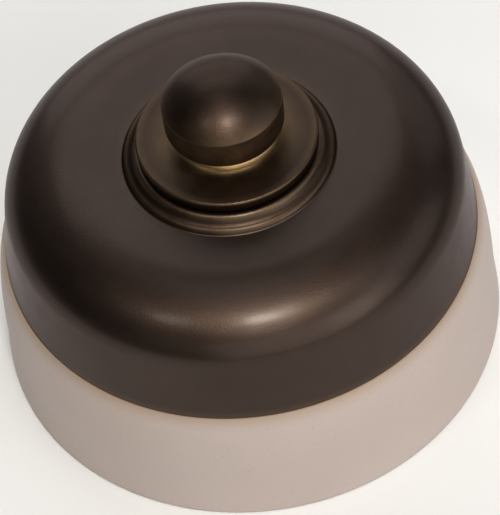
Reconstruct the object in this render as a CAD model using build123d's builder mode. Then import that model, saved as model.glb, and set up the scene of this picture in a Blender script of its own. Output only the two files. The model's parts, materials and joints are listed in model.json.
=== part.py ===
"""Round surface-mounted fan speed controller.

A hollow porcelain base stands against the wall and a spun brass cover closes it. A turned knob on
the shaft of a rotary switch picks off or one of three speeds. Sizes are in millimetres. The origin
is the centre of the base's back face, z points out of the wall, and the terminal posts lie at -y.
"""
import os
from math import acos, atan2, cos, degrees, hypot, radians, sin, sqrt, tan

from build123d import *

# Angles in degrees and counts that are fixed by geometry
quarter_turn = 90
half_turn = 180
hexagon_side_count = 6

# Porcelain base
room_gap = 1.0
base_wall = 4.4
base_shoulder_w = 1.65
base_flare = 0.45
base_side_h = 6.1
base_h = 18.0
base_floor = 4.0
base_edge_round = 0.5
cavity_round = 1.0
foot_ring_w = 8.0
back_recess = 1.2
spigot_h = 2.4
spigot_chamfer = 0.5
fixing_hole_r = 2.25
fixing_head_r = 4.2
fixing_wall_gap = 0.3
fixing_count = 2
fixing_angle = 45.0
cable_hole_r = 6.0
pillar_r = 4.2
pillar_h = 5.0
rib_t = 1.4
rib_h = 4.0

# Spun cover, with a raised plinth and a sunk well for the nut
cover_sheet = 1.0
cover_h = 14.85
cover_lean = 7.9
cover_fit = 0.3
shoulder_w = 11.0
shoulder_h = 6.85
plinth_r = 13.2
plinth_h = 1.7
plinth_step = 0.6
plinth_bevel = 1.1
plinth_round = 0.25
ridge_round = 0.5
ridge_lean = 30.0
well_gap = 1.2
well_depth = 2.0
cover_hole_fit = 0.25

# Turned knob
knob_gap = 0.5
flange_r = 11.45
flange_t = 1.4
flange_round = 0.3
sweep_w = 3.0
sweep_h = 1.3
neck_r = 5.6
neck_h = 0.1
under_h = 0.9
side_r = 7.5
side_h = 4.1
cap_h = 3.2
knob_recess_gap = 1.4
knob_recess = 0.5
knob_bore_h = 8.2
grub_r = 1.25
grub_sink = 0.6
grub_socket_r = 0.65
grub_socket_depth = 1.2

# Shaft, bush and nuts of the rotary switch
shaft_r = 3.0
shaft_flat = 1.5
shaft_fit = 0.05
shaft_end_gap = 0.4
pilot_r = 1.5
running_fit = 0.04
groove_depth = 0.7
bush_wall = 2.0
bush_step = 0.8
bush_chamfer = 0.4
bush_show = 0.3
thread_fit = 0.05
hole_fit = 0.15
cover_nut_flats = 13.0
cover_nut_t = 1.6
bridge_nut_flats = 14.0
bridge_nut_t = 2.5
washer_w = 2.6
washer_t = 0.8
washer_tooth_w = 1.0
washer_tooth_depth = 1.2
washer_tooth_count = 8

# Folded bridge that carries the switch
bridge_t = 1.2
bridge_w = 14.0
bridge_rise = 13.0
bridge_bend = 2.0
leg_gap = 0.2
foot_over = 4.0
insert_r = 2.3
insert_h = 5.5
insert_fit = 0.05
bridge_screw_r = 1.5
bridge_screw_head_r = 2.9
bridge_screw_head_h = 1.8
bridge_screw_gap = 1.4
screw_end_gap = 0.6
slot_w = 0.7
slot_depth = 0.8
head_round = 0.5

# Fixed body of the switch
switch_r = 11.5
switch_wall = 1.3
switch_floor = 1.5
plate_t = 1.0
tab_w = 5.0
tab_h = 6.0
tab_fit = 0.05
window_w = 2.6
window_h = 2.2
window_drop = 3.2
lug_fit = 0.2
pilot_floor = 0.4

# Turning set and contacts of the switch
speed_step = 45.0
speed_count = 3
off_angle = 150.0
common_angle = 195.0
pad_gap = 0.8
pad_wall_gap = 1.2
pad_r = 1.4
pad_t = 0.6
contact_gap = 0.05
tag_w = 2.4
tag_t = 0.5
tag_l = 3.5
tag_fit = 0.05
ring_w = 1.6
strip_w = 1.6
wiper_t = 0.4
wiper_lift = 1.0
wiper_in_edge = 0.3
wiper_out_edge = 0.2
wiper_arm_w = 2.6
wiper_arm_end = 0.9
wiper_foot_r = 0.6
rotor_t = 3.2
rotor_gap = 1.6
rotor_lug_w = 2.6
rotor_lug_gap = 0.4
rotor_lug_angle = 60.0
stop_w = 2.0
stop_gap = 0.4
stop_play = 1.0
star_step = 1.6
star_t = 2.0
notch_r = 1.6
notch_centre_gap = 0.5
leaf_t = 0.35
leaf_gap = 0.4
leaf_end_gap = 0.05
leaf_edge_gap = 0.15
clip_w = 1.8
clip_t = 0.6
clip_gap = 0.2
clip_snap = 0.6
headroom = 1.0

# Capacitor, terminal posts and inner leads
capacitor_l = 18.5
capacitor_w = 8.0
capacitor_h = 15.0
capacitor_round = 0.8
capacitor_gap = 1.0
capacitor_fit = 0.2
post_w = 6.4
post_d = 7.0
post_h = 9.0
post_gap = 1.5
post_round = 0.4
post_hole_r = 1.4
clamp_r = 1.25
clamp_head_r = 2.2
clamp_head_h = 1.6
clamp_show = 0.8
post_screw_r = 1.25
post_screw_head_r = 2.4
post_screw_head_h = 1.2
post_screw_reach = 2.0
lead_r = 0.8

# Levels, from the wall outwards
floor_z = back_recess + base_floor
pillar_z = floor_z + pillar_h
bridge_z = pillar_z + bridge_rise
bridge_top_z = bridge_z + bridge_t
plate_z = bridge_z - plate_t
clip_z = plate_z - clip_gap - clip_t
star_top_z = clip_z - headroom
star_z = star_top_z - star_t
rotor_z = star_z - rotor_t
wiper_z = rotor_z - wiper_t
pad_z = wiper_z - wiper_lift
switch_floor_z = pad_z - pad_t
housing_z = switch_floor_z - switch_floor
tag_end_z = housing_z - tag_l
lead_z = (housing_z + tag_end_z) / 2
pilot_end_z = housing_z + pilot_floor + shaft_fit
post_z = floor_z + post_h
foot_z = base_h + cover_h
plinth_z = foot_z + plinth_h
well_z = plinth_z - well_depth
bush_top_z = well_z + cover_nut_t + bush_show
knob_z = plinth_z + knob_gap
flange_z = knob_z + flange_t
neck_z = flange_z + sweep_h
under_z = neck_z + neck_h
side_z = under_z + under_h
edge_z = side_z + side_h
grub_z = side_z + side_h / 2
bore_top_z = knob_z + knob_bore_h
shaft_top_z = bore_top_z - shaft_end_gap

# Radii about the shaft
groove_r = shaft_r - groove_depth
clip_r = shaft_r + clip_w
clip_mouth = 2 * groove_r - clip_snap
bush_r = shaft_r + bush_wall
bush_spigot_r = bush_r - bush_step
washer_r = bush_r + washer_w

# Radii inside the switch, from its wall inwards
switch_in_r = switch_r - switch_wall
contact_r = switch_in_r - pad_wall_gap - pad_r
ring_out_r = contact_r - pad_r - pad_gap
ring_in_r = ring_out_r - ring_w
ring_mid_r = (ring_in_r + ring_out_r) / 2
wiper_in_r = ring_in_r - wiper_in_edge
wiper_out_r = ring_out_r + wiper_out_edge
rotor_r = switch_in_r - rotor_gap
star_r = rotor_r - star_step
stop_r = rotor_r + stop_gap
stop_turn = degrees((rotor_lug_w + stop_w) / 2 / stop_r) + stop_play
stop_angles = [rotor_lug_angle + stop_turn, rotor_lug_angle - speed_step * speed_count - stop_turn]
speed_angles = [off_angle - speed_step * (n + 1) for n in range(speed_count)]
notch_count = round(2 * half_turn / speed_step)
leaf_y = star_r + notch_centre_gap
leaf_bump_r = notch_r - leaf_gap
leaf_half_l = sqrt((switch_in_r - leaf_end_gap) ** 2 - (leaf_y + leaf_t) ** 2)

# Knob and the cover's well, over the shaft and its nut
dome_r = (side_r ** 2 + cap_h ** 2) / (2 * cap_h)
dome_z = edge_z + cap_h - dome_r
dome_start = degrees(acos(side_r / dome_r))
ridge_r = plinth_r - plinth_bevel
knob_recess_r = bush_r + knob_recess_gap
well_r = cover_nut_flats / 2 / cos(radians(half_turn / hexagon_side_count)) + well_gap


def polar(radius, angle):
    """Point at a radius and an angle in degrees about the axis."""
    return radius * cos(radians(angle)), radius * sin(radians(angle))


# Places across the wall, from the switch outwards
common_place = polar(contact_r, common_angle)
speed_places = [polar(contact_r, angle) for angle in speed_angles]
low_place, medium_place, high_place = speed_places
tag_places = [common_place, *speed_places]
tab_y = switch_r + tab_fit
post_y = -(tab_y + plate_t + post_gap + post_d / 2)
post_places = [(common_place[0], post_y), (high_place[0], post_y)]
capacitor_y = tab_y + plate_t + capacitor_gap
capacitor_mid_y = capacitor_y + capacitor_w / 2
rib_x = capacitor_l / 2 + capacitor_fit + rib_t / 2
rib_places = [(-rib_x, capacitor_mid_y), (rib_x, capacitor_mid_y)]
leg_x = switch_r + bridge_bend + leg_gap
pillar_x = leg_x + bridge_bend + bridge_screw_head_r + bridge_screw_gap
pillar_places = [(-pillar_x, 0), (pillar_x, 0)]
foot_end_x = pillar_x + foot_over

# Radii of the base and cover: the cavity clears the corners of all that stands in it
cavity_r = room_gap + max(
    hypot(foot_end_x, bridge_w / 2),
    hypot(rib_x + rib_t / 2, capacitor_y + capacitor_w),
    *[hypot(abs(x) + post_w / 2, abs(y) + post_d / 2) for x, y in post_places],
)
cover_rim_r = cavity_r + base_wall
cover_taper = tan(radians(cover_lean))
cover_in_r = cover_rim_r - cover_sheet / cos(radians(cover_lean))
spigot_r = cover_in_r - spigot_h * cover_taper - cover_fit
shoulder_z = foot_z - shoulder_h
shoulder_x = cover_rim_r - (shoulder_z - base_h) * cover_taper - hypot(shoulder_w, shoulder_h * cover_taper)
base_side_r = cover_rim_r + base_shoulder_w
base_foot_r = base_side_r + base_flare
back_recess_r = base_foot_r - foot_ring_w
fixing_circle_r = cavity_r - fixing_head_r - fixing_wall_gap


def keep(builder, name):
    """Label a finished piece and write it to its own file."""
    builder.part.label = name
    export_step(builder.part, f"parts/{name}.step")


def d_shape(radius, flat):
    """Round section with one flat, which faces +y."""
    Circle(radius)
    with Locations((0, flat + radius)):
        Rectangle(2 * radius, 2 * radius, mode=Mode.SUBTRACT)


def slotted_screws(places, seat_z, head_r, head_h, shank_r, shank_l):
    """Slotted pan-head screws that stand on one level, heads up."""
    with BuildPart() as screws:
        with BuildSketch(Plane.XY.offset(seat_z)):
            with Locations(*places):
                Circle(head_r)
        extrude(amount=head_h)
        fillet(screws.edges().group_by(Axis.Z)[-1], head_round)
        with BuildSketch(Plane.XY.offset(seat_z + head_h)):
            with Locations(*places):
                Rectangle(2 * head_r, slot_w)
        extrude(amount=-slot_depth, mode=Mode.SUBTRACT)
        with BuildSketch(Plane.XY.offset(seat_z)):
            with Locations(*places):
                Circle(shank_r)
        extrude(amount=-shank_l)
    return screws


def hex_nut(seat_z, flats, thickness):
    """Thin hexagon nut on the bush."""
    with BuildPart() as nut:
        with BuildSketch(Plane.XY.offset(seat_z)):
            RegularPolygon(flats / 2, hexagon_side_count, major_radius=False)
            Circle(bush_r + thread_fit, mode=Mode.SUBTRACT)
        extrude(amount=thickness)
    return nut


def straight_lead(x, y_from, y_to):
    """Insulated lead that runs along y at the level of the tags."""
    with BuildPart() as lead:
        with BuildSketch(Plane.XZ.offset(-y_from)):
            with Locations((x, lead_z)):
                Circle(lead_r)
        extrude(amount=y_from - y_to)
    return lead


os.makedirs("parts", exist_ok=True)

# Base: turned outline with a rounded shoulder, hollow inside, with a foot ring at the back
with BuildPart() as base:
    with BuildSketch(Plane.XZ):
        with BuildLine():
            spigot_z = base_h + spigot_h
            foot = FilletPolyline(
                (back_recess_r, 0), (base_foot_r, 0), (base_side_r, base_side_h), radius=base_edge_round
            )
            shoulder = EllipticalCenterArc(
                (cover_rim_r, base_side_h),
                base_shoulder_w,
                base_h - base_side_h,
                start_angle=0,
                arc_size=quarter_turn,
            )
            Polyline(
                shoulder @ 1,
                (spigot_r, base_h),
                (spigot_r, spigot_z - spigot_chamfer),
                (spigot_r - spigot_chamfer, spigot_z),
                (cavity_r, spigot_z),
            )
            FilletPolyline((cavity_r, spigot_z), (cavity_r, floor_z), (0, floor_z), radius=cavity_round)
            Polyline((0, floor_z), (0, back_recess), (back_recess_r, back_recess), foot @ 0)
        make_face()
    revolve(axis=Axis.Z)
    # Pillars for the bridge, and two ribs that hold the capacitor by its ends
    with BuildSketch(Plane.XY.offset(floor_z)):
        with Locations(*pillar_places):
            Circle(pillar_r)
    extrude(amount=pillar_h)
    with BuildSketch(Plane.XY.offset(floor_z)):
        with Locations(*rib_places):
            Rectangle(rib_t, capacitor_w)
    extrude(amount=rib_h)
    # Sockets for the inserts, then the holes through the floor
    with BuildSketch(Plane.XY.offset(pillar_z)):
        with Locations(*pillar_places):
            Circle(insert_r + insert_fit)
    extrude(amount=-insert_h - insert_fit, mode=Mode.SUBTRACT)
    with Locations((0, 0, floor_z)):
        Hole(cable_hole_r, depth=base_floor)
        with PolarLocations(fixing_circle_r, fixing_count, start_angle=fixing_angle):
            CounterSinkHole(fixing_hole_r, fixing_head_r, depth=base_floor)
    with BuildSketch(Plane.XY.offset(back_recess)):
        with Locations(*post_places):
            Circle(post_screw_r + hole_fit)
    extrude(amount=base_floor, mode=Mode.SUBTRACT)
    with BuildSketch(Plane.XY.offset(back_recess)):
        with Locations(*post_places):
            Circle(post_screw_head_r + hole_fit)
    extrude(amount=post_screw_head_h, mode=Mode.SUBTRACT)
keep(base, "base")


def cover_section(inset):
    """Half section of the cover's form, shrunk by an inset, down to the rim."""
    shoulder_in = shoulder_w - inset
    shoulder_up = shoulder_h - inset
    wall_turn = degrees(atan2(shoulder_up * cover_taper, shoulder_in))
    rim_r = shoulder_x + hypot(shoulder_in, shoulder_up * cover_taper) + (shoulder_z - base_h) * cover_taper
    bevel = tan(atan2(plinth_bevel, plinth_h - plinth_step) / 2)
    with BuildSketch(Plane.XZ) as section:
        with BuildLine():
            turn = EllipticalCenterArc(
                (shoulder_x, shoulder_z),
                shoulder_in,
                shoulder_up,
                start_angle=wall_turn,
                arc_size=quarter_turn - wall_turn,
            )
            FilletPolyline(
                turn @ 1,
                (plinth_r - inset, foot_z - inset),
                (plinth_r - inset, foot_z + plinth_step - inset * bevel),
                (ridge_r - inset * bevel, plinth_z - inset),
                (well_r + inset, plinth_z - inset),
                (well_r + inset, well_z - inset),
                (0, well_z - inset),
                radius=plinth_round,
            )
            Polyline((0, well_z - inset), (0, base_h), (rim_r, base_h), turn @ 0)
        make_face()
    return section.sketch


# Cover: one spun sheet, clamped by the nut that sits in its well
with BuildPart() as cover:
    revolve(cover_section(0), axis=Axis.Z)
    revolve(cover_section(cover_sheet), axis=Axis.Z, mode=Mode.SUBTRACT)
    with Locations((0, 0, well_z)):
        Hole(bush_r + cover_hole_fit, depth=cover_sheet)
    # Edge of the plinth: a cove runs from a crisp lip up to a rounded ridge
    with BuildSketch(Plane.XZ):
        with BuildLine():
            ridge = CenterArc(
                (ridge_r - ridge_round, plinth_z - ridge_round),
                ridge_round,
                ridge_lean,
                quarter_turn - ridge_lean,
            )
            cove = TangentArc(ridge @ 0, (plinth_r, foot_z + plinth_step), tangent=-(ridge % 0))
            Polyline(cove @ 1, (plinth_r, plinth_z), ridge @ 1)
        make_face()
    revolve(axis=Axis.Z, mode=Mode.SUBTRACT)
keep(cover, "cover")

keep(hex_nut(well_z, cover_nut_flats, cover_nut_t), "cover_nut")

# Knob: turned in one piece, a drum with a domed end and a crisp edge, on a waist and a flange
with BuildPart() as knob:
    with BuildSketch(Plane.XZ) as knob_section:
        with BuildLine():
            dome = CenterArc((0, dome_z), dome_r, dome_start, quarter_turn - dome_start)
            under = EllipticalCenterArc(
                (neck_r, side_z), side_r - neck_r, under_h, start_angle=-quarter_turn, arc_size=quarter_turn
            )
            sweep_in = EllipticalCenterArc(
                (neck_r + sweep_w, neck_z), sweep_w, sweep_h, start_angle=half_turn, arc_size=quarter_turn
            )
            Polyline(dome @ 1, (0, knob_z), (flange_r, knob_z), (flange_r, flange_z), sweep_in @ 1)
            Line(sweep_in @ 0, under @ 0)
            Line(under @ 1, dome @ 0)
        make_face()
        fillet(knob_section.vertices().group_by(Axis.X)[-1], flange_round)
    revolve(axis=Axis.Z)
    # Recess over the nut, bore with a flat for the shaft, and the hole of the grub screw
    with BuildSketch(Plane.XY.offset(knob_z)):
        Circle(knob_recess_r)
    extrude(amount=knob_recess, mode=Mode.SUBTRACT)
    with BuildSketch(Plane.XY.offset(knob_z)):
        d_shape(shaft_r + shaft_fit, shaft_flat + shaft_fit)
    extrude(amount=knob_bore_h, mode=Mode.SUBTRACT)
    with BuildSketch(Plane.XZ.offset(-side_r)):
        with Locations((0, grub_z)):
            Circle(grub_r + thread_fit)
    extrude(amount=side_r - shaft_flat, mode=Mode.SUBTRACT)
keep(knob, "knob")

with BuildPart() as knob_grub_screw:
    with BuildSketch(Plane.XZ.offset(grub_sink - side_r)):
        with Locations((0, grub_z)):
            Circle(grub_r)
    extrude(amount=side_r - grub_sink - shaft_flat)
    with BuildSketch(Plane.XZ.offset(grub_sink - side_r)):
        with Locations((0, grub_z)):
            RegularPolygon(grub_socket_r, hexagon_side_count)
    extrude(amount=grub_socket_depth, mode=Mode.SUBTRACT)
keep(knob_grub_screw, "knob_grub_screw")

# Bridge: strip folded into a hat, with its feet on the pillars
with BuildPart() as bridge:
    with BuildSketch(Plane.XZ):
        with BuildLine():
            FilletPolyline(
                (-foot_end_x, pillar_z),
                (-leg_x, pillar_z),
                (-leg_x, bridge_z),
                (leg_x, bridge_z),
                (leg_x, pillar_z),
                (foot_end_x, pillar_z),
                radius=bridge_bend,
            )
            offset(amount=bridge_t, side=Side.LEFT)
        make_face()
    extrude(amount=bridge_w / 2, both=True)
    with Locations((0, 0, bridge_top_z)):
        Hole(bush_r + hole_fit, depth=bridge_t)
    with BuildSketch(Plane.XY.offset(pillar_z)):
        with Locations(*pillar_places):
            Circle(bridge_screw_r + hole_fit)
    extrude(amount=bridge_t, mode=Mode.SUBTRACT)
keep(bridge, "bridge")

# Toothed washer and nut that clamp the switch to the bridge
with BuildPart() as bridge_washer:
    with BuildSketch(Plane.XY.offset(bridge_top_z)):
        Circle(washer_r)
        Circle(bush_r + hole_fit, mode=Mode.SUBTRACT)
        with PolarLocations(washer_r, washer_tooth_count):
            Rectangle(2 * washer_tooth_depth, washer_tooth_w, mode=Mode.SUBTRACT)
    extrude(amount=washer_t)
keep(bridge_washer, "bridge_washer")

keep(hex_nut(bridge_top_z + washer_t, bridge_nut_flats, bridge_nut_t), "bridge_nut")

with BuildPart() as bridge_inserts:
    with BuildSketch(Plane.XY.offset(pillar_z)):
        with Locations(*pillar_places):
            Circle(insert_r)
            Circle(bridge_screw_r + thread_fit, mode=Mode.SUBTRACT)
    extrude(amount=-insert_h)
keep(bridge_inserts, "bridge_inserts")

bridge_screws = slotted_screws(
    pillar_places,
    pillar_z + bridge_t,
    bridge_screw_head_r,
    bridge_screw_head_h,
    bridge_screw_r,
    bridge_t + insert_h - screw_end_gap,
)
keep(bridge_screws, "bridge_screws")

# Bush: threaded outside, staked into the switch plate
with BuildPart() as switch_bush:
    with BuildSketch(Plane.XY.offset(bridge_z)):
        Circle(bush_r)
    extrude(amount=bush_top_z - bridge_z)
    chamfer(switch_bush.edges().group_by(Axis.Z)[-1], bush_chamfer)
    with BuildSketch(Plane.XY.offset(plate_z)):
        Circle(bush_spigot_r)
    extrude(amount=plate_t)
    with Locations((0, 0, bush_top_z)):
        Hole(shaft_r + running_fit, depth=bush_top_z - plate_z)
keep(switch_bush, "switch_bush")

# Switch plate: closes the housing, with two folded tabs that hook over its lugs
with BuildPart() as switch_plate:
    with BuildSketch(Plane.XY.offset(plate_z)):
        Circle(switch_r)
        Rectangle(tab_w, 2 * (tab_y + plate_t))
        Circle(bush_spigot_r + tab_fit, mode=Mode.SUBTRACT)
    extrude(amount=plate_t)
    with BuildSketch(Plane.XY.offset(plate_z)):
        with Locations((0, tab_y + plate_t / 2), (0, -tab_y - plate_t / 2)):
            Rectangle(tab_w, plate_t)
    extrude(amount=-tab_h)
    with BuildSketch(Plane.XZ):
        with Locations((0, plate_z - window_drop)):
            Rectangle(window_w, window_h)
    extrude(amount=tab_y + plate_t, both=True, mode=Mode.SUBTRACT)
keep(switch_plate, "switch_plate")

# Switch housing: moulded cup with lugs for the plate, two stops and slots for the tags
with BuildPart() as switch_housing:
    with BuildSketch(Plane.XY.offset(housing_z)):
        Circle(switch_r)
    extrude(amount=plate_z - housing_z)
    with BuildSketch(Plane.XZ):
        with Locations((0, plate_z - window_drop)):
            Rectangle(window_w - 2 * lug_fit, window_h - 2 * lug_fit)
    extrude(amount=tab_y + plate_t, both=True)
    with BuildSketch(Plane.XY.offset(switch_floor_z)):
        Circle(switch_in_r)
    extrude(amount=plate_z - switch_floor_z, mode=Mode.SUBTRACT)
    for angle in stop_angles:
        with BuildSketch(Plane.XY.offset(switch_floor_z)):
            with PolarLocations(stop_r, 1, start_angle=angle):
                Rectangle(switch_in_r + switch_wall / 2 - stop_r, stop_w, align=(Align.MIN, Align.CENTER))
        extrude(amount=star_z - switch_floor_z)
    with BuildSketch(Plane.XY.offset(switch_floor_z)):
        with Locations(*tag_places):
            Rectangle(tag_w + 2 * tag_fit, tag_t + 2 * tag_fit)
    extrude(amount=-switch_floor, mode=Mode.SUBTRACT)
    with Locations((0, 0, switch_floor_z)):
        Hole(pilot_r + running_fit, depth=switch_floor - pilot_floor)
keep(switch_housing, "switch_housing")

# Shaft: round in the bush, with a flat under the knob's screw and another in the rotor
with BuildPart() as switch_shaft:
    with BuildSketch(Plane.XY.offset(rotor_z)):
        Circle(shaft_r)
    extrude(amount=shaft_top_z - rotor_z)
    for flat_z, flat_end_z in ((rotor_z, star_top_z), (knob_z, shaft_top_z)):
        with BuildSketch(Plane.XY.offset(flat_z)):
            with Locations((0, shaft_flat + shaft_r)):
                Rectangle(2 * shaft_r, 2 * shaft_r)
        extrude(amount=flat_end_z - flat_z, mode=Mode.SUBTRACT)
    with BuildSketch(Plane.XY.offset(clip_z)):
        Circle(shaft_r)
        Circle(groove_r, mode=Mode.SUBTRACT)
    extrude(amount=clip_t, mode=Mode.SUBTRACT)
    with BuildSketch(Plane.XY.offset(rotor_z)):
        Circle(pilot_r)
    extrude(amount=pilot_end_z - rotor_z)
keep(switch_shaft, "switch_shaft")

with BuildPart() as shaft_clip:
    with BuildSketch(Plane.XY.offset(clip_z)):
        Circle(clip_r)
        Circle(groove_r + shaft_fit, mode=Mode.SUBTRACT)
        Rectangle(clip_mouth, clip_r, align=(Align.CENTER, Align.MAX), mode=Mode.SUBTRACT)
    extrude(amount=clip_t)
keep(shaft_clip, "shaft_clip")

# Rotor: carries the wiper below and the notched star above, with a lug that meets the stops
with BuildPart() as rotor:
    with BuildSketch(Plane.XY.offset(rotor_z)):
        Circle(rotor_r)
        with PolarLocations(star_r, 1, start_angle=rotor_lug_angle):
            Rectangle(switch_in_r - rotor_lug_gap - star_r, rotor_lug_w, align=(Align.MIN, Align.CENTER))
    extrude(amount=rotor_t)
    with BuildSketch(Plane.XY.offset(star_z)):
        Circle(star_r)
        with PolarLocations(star_r + notch_centre_gap, notch_count, start_angle=quarter_turn):
            Circle(notch_r, mode=Mode.SUBTRACT)
    extrude(amount=star_t)
    with BuildSketch(Plane.XY.offset(rotor_z)):
        d_shape(shaft_r + shaft_fit, shaft_flat + shaft_fit)
    extrude(amount=rotor_t + star_t, mode=Mode.SUBTRACT)
keep(rotor, "rotor")

# Wiper: sheet spring that joins the common ring to one speed contact, parked on the off place
with BuildPart() as wiper:
    with BuildSketch(Plane.XY.offset(wiper_z)):
        Circle(wiper_out_r)
        with PolarLocations(0, 1, start_angle=off_angle):
            Rectangle(contact_r + wiper_arm_end, wiper_arm_w, align=(Align.MIN, Align.CENTER))
        Circle(wiper_in_r, mode=Mode.SUBTRACT)
    extrude(amount=wiper_t)
    with BuildSketch(Plane.XY.offset(wiper_z)):
        with Locations(*[polar(radius, off_angle) for radius in (contact_r, ring_mid_r, -ring_mid_r)]):
            Circle(wiper_foot_r)
    extrude(amount=contact_gap - wiper_lift)
keep(wiper, "wiper")

# Detent spring: leaf held by its ends in the housing, with a bump that rests in a notch
with BuildPart() as detent_spring:
    with BuildSketch(Plane.XY.offset(star_z + leaf_edge_gap)):
        with BuildLine():
            Line((-leaf_half_l, leaf_y), (-leaf_bump_r, leaf_y))
            CenterArc((0, leaf_y), leaf_bump_r, half_turn, half_turn)
            Line((leaf_bump_r, leaf_y), (leaf_half_l, leaf_y))
            offset(amount=leaf_t, side=Side.LEFT)
        make_face()
    extrude(amount=star_t - 2 * leaf_edge_gap)
keep(detent_spring, "detent_spring")

# Fixed contacts: pads on the switch floor, each with a tag through its slot
with BuildPart() as common_terminal:
    with BuildSketch(Plane.XY.offset(switch_floor_z)):
        Circle(ring_out_r)
        with PolarLocations(0, 1, start_angle=common_angle):
            Rectangle(contact_r, strip_w, align=(Align.MIN, Align.CENTER))
        with Locations(common_place):
            Circle(pad_r)
        Circle(ring_in_r, mode=Mode.SUBTRACT)
    extrude(amount=pad_t)
    with BuildSketch(Plane.XY.offset(switch_floor_z)):
        with Locations(common_place):
            Rectangle(tag_w, tag_t)
    extrude(amount=tag_end_z - switch_floor_z)
keep(common_terminal, "common_terminal")

for terminal_name, place in zip(("low_terminal", "medium_terminal", "high_terminal"), speed_places):
    with BuildPart() as terminal:
        with BuildSketch(Plane.XY.offset(switch_floor_z)):
            with Locations(place):
                Circle(pad_r)
        extrude(amount=pad_t)
        with BuildSketch(Plane.XY.offset(switch_floor_z)):
            with Locations(place):
                Rectangle(tag_w, tag_t)
        extrude(amount=tag_end_z - switch_floor_z)
    keep(terminal, terminal_name)

# Capacitor: moulded box that stands on the floor between its ribs
with BuildPart() as capacitor:
    with BuildSketch(Plane.XY.offset(floor_z)):
        with Locations((0, capacitor_mid_y)):
            Rectangle(capacitor_l, capacitor_w)
    extrude(amount=capacitor_h)
    fillet(capacitor.edges().filter_by(Axis.Z), capacitor_round)
    fillet(capacitor.faces().sort_by(Axis.Z)[-1].edges(), capacitor_round)
keep(capacitor, "capacitor")

# Terminal posts: brass blocks with a cross hole for the wire and a clamp screw above it
for post_name, place in zip(("supply_post", "fan_post"), post_places):
    with BuildPart() as post:
        with BuildSketch(Plane.XY.offset(floor_z)):
            with Locations(place):
                RectangleRounded(post_w, post_d, post_round)
        extrude(amount=post_h)
        with BuildSketch(Plane.XZ.offset(-place[1])):
            with Locations((place[0], lead_z)):
                Circle(post_hole_r)
        extrude(amount=post_d / 2, both=True, mode=Mode.SUBTRACT)
        with BuildSketch(Plane.XY.offset(post_z)):
            with Locations(place):
                Circle(clamp_r + thread_fit)
        extrude(amount=lead_z - post_z, mode=Mode.SUBTRACT)
        with BuildSketch(Plane.XY.offset(floor_z)):
            with Locations(place):
                Circle(post_screw_r + thread_fit)
        extrude(amount=post_screw_reach, mode=Mode.SUBTRACT)
    keep(post, post_name)

post_clamp_screws = slotted_screws(
    post_places,
    post_z + clamp_show,
    clamp_head_r,
    clamp_head_h,
    clamp_r,
    post_z + clamp_show - lead_z - lead_r - contact_gap,
)
keep(post_clamp_screws, "post_clamp_screws")

# Screws that hold the posts from the back, with their heads sunk into the base
with BuildPart() as post_fixing_screws:
    with BuildSketch(Plane.XY.offset(back_recess)):
        with Locations(*post_places):
            Circle(post_screw_head_r)
    extrude(amount=post_screw_head_h)
    with BuildSketch(Plane.XY.offset(back_recess)):
        with Locations(*post_places):
            Rectangle(2 * post_screw_head_r, slot_w)
    extrude(amount=slot_depth, mode=Mode.SUBTRACT)
    with BuildSketch(Plane.XY.offset(back_recess + post_screw_head_h)):
        with Locations(*post_places):
            Circle(post_screw_r)
    extrude(amount=base_floor - post_screw_head_h + post_screw_reach - contact_gap)
keep(post_fixing_screws, "post_fixing_screws")

# Inner leads between the tags, the posts and the capacitor
keep(straight_lead(common_place[0], common_place[1] - tag_t / 2, post_y), "supply_lead")
keep(straight_lead(high_place[0], high_place[1] - tag_t / 2, post_y), "fan_lead")
keep(straight_lead(low_place[0], capacitor_y, low_place[1] + tag_t / 2), "low_lead")
keep(straight_lead(medium_place[0], capacitor_y, medium_place[1] + tag_t / 2), "medium_lead")
keep(straight_lead(high_place[0], capacitor_y, high_place[1] + tag_t / 2), "return_lead")
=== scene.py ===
"""Looks of the fan speed controller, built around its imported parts.

Finely turned shells stand for the porcelain base, the spun cover and the turned knob. The pieces
inside keep their own solids. Sizes are metres, angles are degrees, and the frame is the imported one.
"""
import json
import math

import bmesh
import bpy
from mathutils import Color, Matrix, Vector


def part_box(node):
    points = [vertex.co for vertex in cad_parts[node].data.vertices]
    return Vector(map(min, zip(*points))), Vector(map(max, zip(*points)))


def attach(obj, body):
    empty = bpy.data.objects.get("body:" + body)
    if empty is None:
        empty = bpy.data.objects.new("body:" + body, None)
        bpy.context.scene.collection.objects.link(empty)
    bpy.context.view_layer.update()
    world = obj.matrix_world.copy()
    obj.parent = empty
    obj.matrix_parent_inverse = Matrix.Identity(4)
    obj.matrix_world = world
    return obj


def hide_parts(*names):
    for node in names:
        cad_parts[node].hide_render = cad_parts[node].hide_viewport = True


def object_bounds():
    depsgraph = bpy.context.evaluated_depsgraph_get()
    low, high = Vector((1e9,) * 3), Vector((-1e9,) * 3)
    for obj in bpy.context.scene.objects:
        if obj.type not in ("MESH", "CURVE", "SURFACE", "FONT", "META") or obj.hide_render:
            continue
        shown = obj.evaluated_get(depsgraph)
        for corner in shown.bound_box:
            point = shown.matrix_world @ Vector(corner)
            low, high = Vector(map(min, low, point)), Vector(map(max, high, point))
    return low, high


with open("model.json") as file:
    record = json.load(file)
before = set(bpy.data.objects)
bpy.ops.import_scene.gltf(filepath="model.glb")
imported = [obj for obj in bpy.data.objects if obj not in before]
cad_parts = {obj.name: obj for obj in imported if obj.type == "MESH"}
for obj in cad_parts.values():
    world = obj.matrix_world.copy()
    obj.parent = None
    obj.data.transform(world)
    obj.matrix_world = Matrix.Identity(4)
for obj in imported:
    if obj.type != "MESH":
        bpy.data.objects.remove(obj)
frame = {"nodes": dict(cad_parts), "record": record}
cad_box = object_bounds()

MM = 0.001
QUARTER = 90.0
HALF = 180.0
FULL = 360.0
ORIGIN = (0.0, 0.0)

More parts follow.
